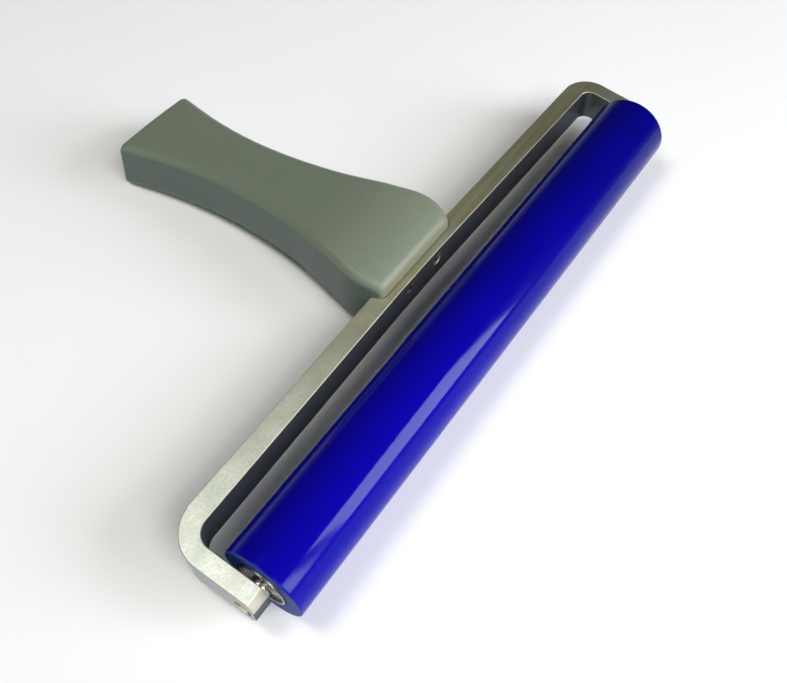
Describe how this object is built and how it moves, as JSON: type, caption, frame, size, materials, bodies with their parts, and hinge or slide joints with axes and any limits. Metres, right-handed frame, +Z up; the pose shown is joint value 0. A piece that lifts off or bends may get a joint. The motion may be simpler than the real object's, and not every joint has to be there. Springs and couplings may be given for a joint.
{
  "type": "rubber brayer",
  "caption": "Hand roller: blue silicone sleeve on a ball-bearing core, held by an axle in a U-shaped aluminium frame with a moulded grip.",
  "frame": {"origin": "on the bench under the middle of the tool's outline: the roller and the tail of the grip rest on z = 0", "axes": "+X along the roller to its right-hand end, +Y from the roller to the end of the grip, +Z up off the bench"},
  "size_m": [0.3262, 0.2298, 0.0381],
  "materials": {
    "blue_silicone": "glossy",
    "core_aluminium": "machined",
    "frame_aluminium": "satin anodised",
    "grey_plastic": "fine moulded grain",
    "steel": "ground",
    "screw_steel": "plated",
    "brass": "machined"
  },
  "bodies": {
    "frame": {"frame": "frame_aluminium", "handle": "grey_plastic", "handle_screw_left": "screw_steel", "handle_screw_right": "screw_steel", "handle_insert_left": "brass", "handle_insert_right": "brass", "axle": "steel", "axle_screw_left": "screw_steel", "axle_screw_right": "screw_steel", "axle_spacer_left": "steel", "axle_spacer_right": "steel", "bearing_inner_race_left": "steel", "bearing_inner_race_right": "steel"},
    "roller": {"sleeve": "blue_silicone", "core_tube": "core_aluminium", "bearing_outer_race_left": "steel", "bearing_outer_race_right": "steel", "bearing_shield_outer_left": "steel", "bearing_shield_outer_right": "steel", "bearing_shield_inner_left": "steel", "bearing_shield_inner_right": "steel"},
    "cage_left": {"bearing_cage_left": "brass", "bearing_ball_left_1": "steel", "bearing_ball_left_2": "steel", "bearing_ball_left_3": "steel", "bearing_ball_left_4": "steel", "bearing_ball_left_5": "steel", "bearing_ball_left_6": "steel", "bearing_ball_left_7": "steel"},
    "cage_right": {"bearing_cage_right": "brass", "bearing_ball_right_1": "steel", "bearing_ball_right_2": "steel", "bearing_ball_right_3": "steel", "bearing_ball_right_4": "steel", "bearing_ball_right_5": "steel", "bearing_ball_right_6": "steel", "bearing_ball_right_7": "steel"}
  },
  "joints": [
    {"name": "roller_spin", "type": "hinge", "parent": "frame", "child": "roller", "pos_m": [-0.00212, -0.09636, 0.0185], "axis": [1, 0, 0], "continuous": true},
    {"name": "cage_spin_left", "type": "hinge", "parent": "frame", "child": "cage_left", "pos_m": [-0.14882, -0.09636, 0.0185], "axis": [1, 0, 0], "continuous": true},
    {"name": "cage_spin_right", "type": "hinge", "parent": "frame", "child": "cage_right", "pos_m": [0.14458, -0.09636, 0.0185], "axis": [1, 0, 0], "continuous": true}
  ],
  "couplings": [
    {"joint": "cage_spin_left", "follows": "roller_spin", "ratio": 0.64},
    {"joint": "cage_spin_right", "follows": "roller_spin", "ratio": 0.64}
  ]
}
